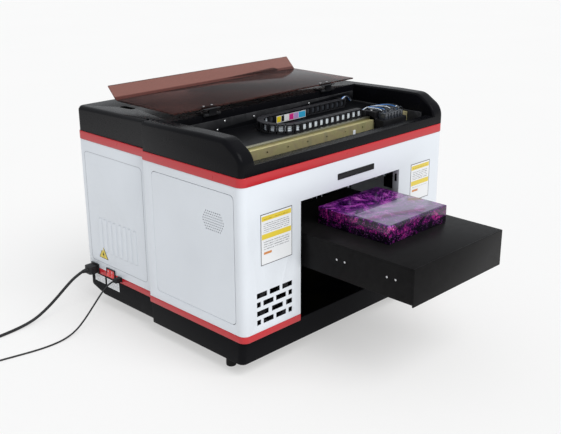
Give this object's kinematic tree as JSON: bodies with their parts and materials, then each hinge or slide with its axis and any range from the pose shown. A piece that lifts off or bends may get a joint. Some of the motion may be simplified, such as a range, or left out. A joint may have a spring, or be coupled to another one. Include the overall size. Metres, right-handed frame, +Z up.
{
  "type": "flatbed uv printer",
  "caption": "Desktop flatbed printer: stepped casing, folded-back acrylic lid, sliding bed run out of a front tunnel and a carriage on a gantry.",
  "frame": {"origin": "on the floor under the middle of the printer with its bed run out", "axes": "+Z up, the front faces -Y, +X to the right of someone facing the front"},
  "size_m": [1.0993, 0.9544, 0.5361],
  "materials": {
    "base_plastic": "fine moulded grain, satin black",
    "foot_rubber": "black rubber",
    "white_enamel": "smooth white powder coat",
    "red_trim": "glossy red strip",
    "cover_plastic": "satin black moulding",
    "smoked_acrylic": "brown smoked acrylic sheet",
    "black_steel": "black coated steel",
    "label_film": "white film stickers",
    "socket_plastic": "black moulding",
    "rocker_red": "red rocker",
    "cord_rubber": "black moulded cable",
    "yellow_zinc": "yellow passivated zinc",
    "ground_steel": "ground steel",
    "belt_rubber": "toothed rubber belt",
    "motor_black": "black stepper motor",
    "pulley_aluminium": "turned aluminium",
    "carriage_plastic": "black moulding",
    "head_steel": "nozzle plate",
    "damper_plastic": "clear white plastic",
    "lamp_aluminium": "anodised block",
    "chain_nylon": "black nylon links",
    "bottle_plastic": "milky plastic",
    "board_green": "green circuit board",
    "supply_case": "folded sheet case",
    "lift_aluminium": "milled plate",
    "bed_black": "black anodised plate",
    "printed_acrylic": "thick clear block printed magenta and violet"
  },
  "bodies": {
    "casing": {"base_tray": "base_plastic", "feet": "foot_rubber", "front_housing": "white_enamel", "left_panel": "white_enamel", "right_panel": "white_enamel", "rear_housing": "white_enamel", "lower_trim": "red_trim", "upper_trim": "red_trim", "top_cover": "cover_plastic", "hinge_deck_leaves": "black_steel", "labels": "label_film", "mains_inlet": "socket_plastic", "switch_frame": "socket_plastic", "usb_socket": "socket_plastic", "side_frames": "black_steel", "gantry_beam": "yellow_zinc", "x_guide_rail": "ground_steel", "x_belt": "belt_rubber", "x_motor": "motor_black", "chain_shelf": "black_steel", "chain_rear_run": "chain_nylon", "ink_bottles": "bottle_plastic", "capping_station": "carriage_plastic", "main_board": "board_green", "power_supply": "supply_case", "fan_frame": "carriage_plastic", "z_guide_rods": "ground_steel", "z_motor": "motor_black", "mains_connector": "cord_rubber", "mains_cord": "cord_rubber", "mains_coil": "cord_rubber", "mains_wall_plug": "cord_rubber", "usb_plug": "cord_rubber", "usb_cord": "cord_rubber", "usb_coil": "cord_rubber", "usb_far_plug": "cord_rubber"},
    "lid": {"lid": "smoked_acrylic", "hinge_lid_leaves": "black_steel"},
    "rocker_front": {"rocker_front": "rocker_red"},
    "rocker_rear": {"rocker_rear": "rocker_red"},
    "drive_pulley": {"x_drive_pulley": "pulley_aluminium"},
    "idler_pulley": {"x_idler_pulley": "pulley_aluminium"},
    "carriage": {"carriage": "carriage_plastic", "print_head": "head_steel", "ink_dampers": "damper_plastic", "uv_lamp": "lamp_aluminium", "chain_front_run": "chain_nylon"},
    "chain_bend": {"chain_bend": "chain_nylon"},
    "fan": {"fan_rotor": "carriage_plastic"},
    "lift": {"lift_frame": "lift_aluminium", "y_rails": "ground_steel", "y_motor": "motor_black"},
    "z_screw": {"z_screw": "ground_steel"},
    "y_screw": {"y_screw": "ground_steel"},
    "bed": {"bed_plate": "bed_black", "bed_side_plates": "bed_black", "bed_front_plate": "bed_black", "bed_screws": "ground_steel", "bed_bearings": "lift_aluminium", "sample_block": "printed_acrylic"}
  },
  "joints": [
    {"name": "lid_hinge", "type": "hinge", "parent": "casing", "child": "lid", "pos_m": [0, 0.0956, 0.4915], "axis": [1, 0, 0], "range_deg": [0, 180]},
    {"name": "bed_lift", "type": "slide", "parent": "casing", "child": "lift", "axis": [0, 0, 1], "range_m": [-0.035, 0.003]},
    {"name": "bed_slide", "type": "slide", "parent": "lift", "child": "bed", "axis": [0, 1, 0], "range_m": [0, 0.275]},
    {"name": "carriage_slide", "type": "slide", "parent": "casing", "child": "carriage", "axis": [1, 0, 0], "range_m": [-0.345, 0.015], "deforming": ["chain_front_run", "chain_rear_run"]},
    {"name": "chain_bend_slide", "type": "slide", "parent": "casing", "child": "chain_bend", "axis": [1, 0, 0], "range_m": [-0.1735, 0.0085]},
    {"name": "drive_pulley_spin", "type": "hinge", "parent": "casing", "child": "drive_pulley", "pos_m": [-0.262, -0.0584, 0.416], "axis": [0, 1, 0], "range_deg": [-2484, 112]},
    {"name": "idler_pulley_spin", "type": "hinge", "parent": "casing", "child": "idler_pulley", "pos_m": [0.262, -0.0584, 0.416], "axis": [0, 1, 0], "range_deg": [-2484, 112]},
    {"name": "lift_screw_spin", "type": "hinge", "parent": "casing", "child": "z_screw", "pos_m": [0.04, 0.1546, 0.15], "axis": [0, 0, 1], "range_deg": [-1580, 136]},
    {"name": "bed_screw_spin", "type": "hinge", "parent": "lift", "child": "y_screw", "pos_m": [0, 0.1, 0.2525], "axis": [0, 1, 0], "range_deg": [0, 4956]},
    {"name": "fan_spin", "type": "hinge", "parent": "casing", "child": "fan", "pos_m": [-0.2375, -0.1309, 0.145], "axis": [0, 1, 0], "continuous": true},
    {"name": "rocker_front_tilt", "type": "hinge", "parent": "casing", "child": "rocker_front", "pos_m": [-0.3112, 0.3192, 0.094], "axis": [0, 1, 0], "range_deg": [-16, 0]},
    {"name": "rocker_rear_tilt", "type": "hinge", "parent": "casing", "child": "rocker_rear", "pos_m": [-0.3112, 0.334, 0.094], "axis": [0, 1, 0], "range_deg": [-16, 0]}
  ],
  "couplings": [
    {"joint": "chain_bend_slide", "follows": "carriage_slide", "ratio": 0.5},
    {"joint": "drive_pulley_spin", "follows": "carriage_slide", "rad_per_m": 124.22},
    {"joint": "idler_pulley_spin", "follows": "carriage_slide", "rad_per_m": 124.22},
    {"joint": "lift_screw_spin", "follows": "bed_lift", "rad_per_m": 785.4},
    {"joint": "bed_screw_spin", "follows": "bed_slide", "rad_per_m": 314.16}
  ]
}
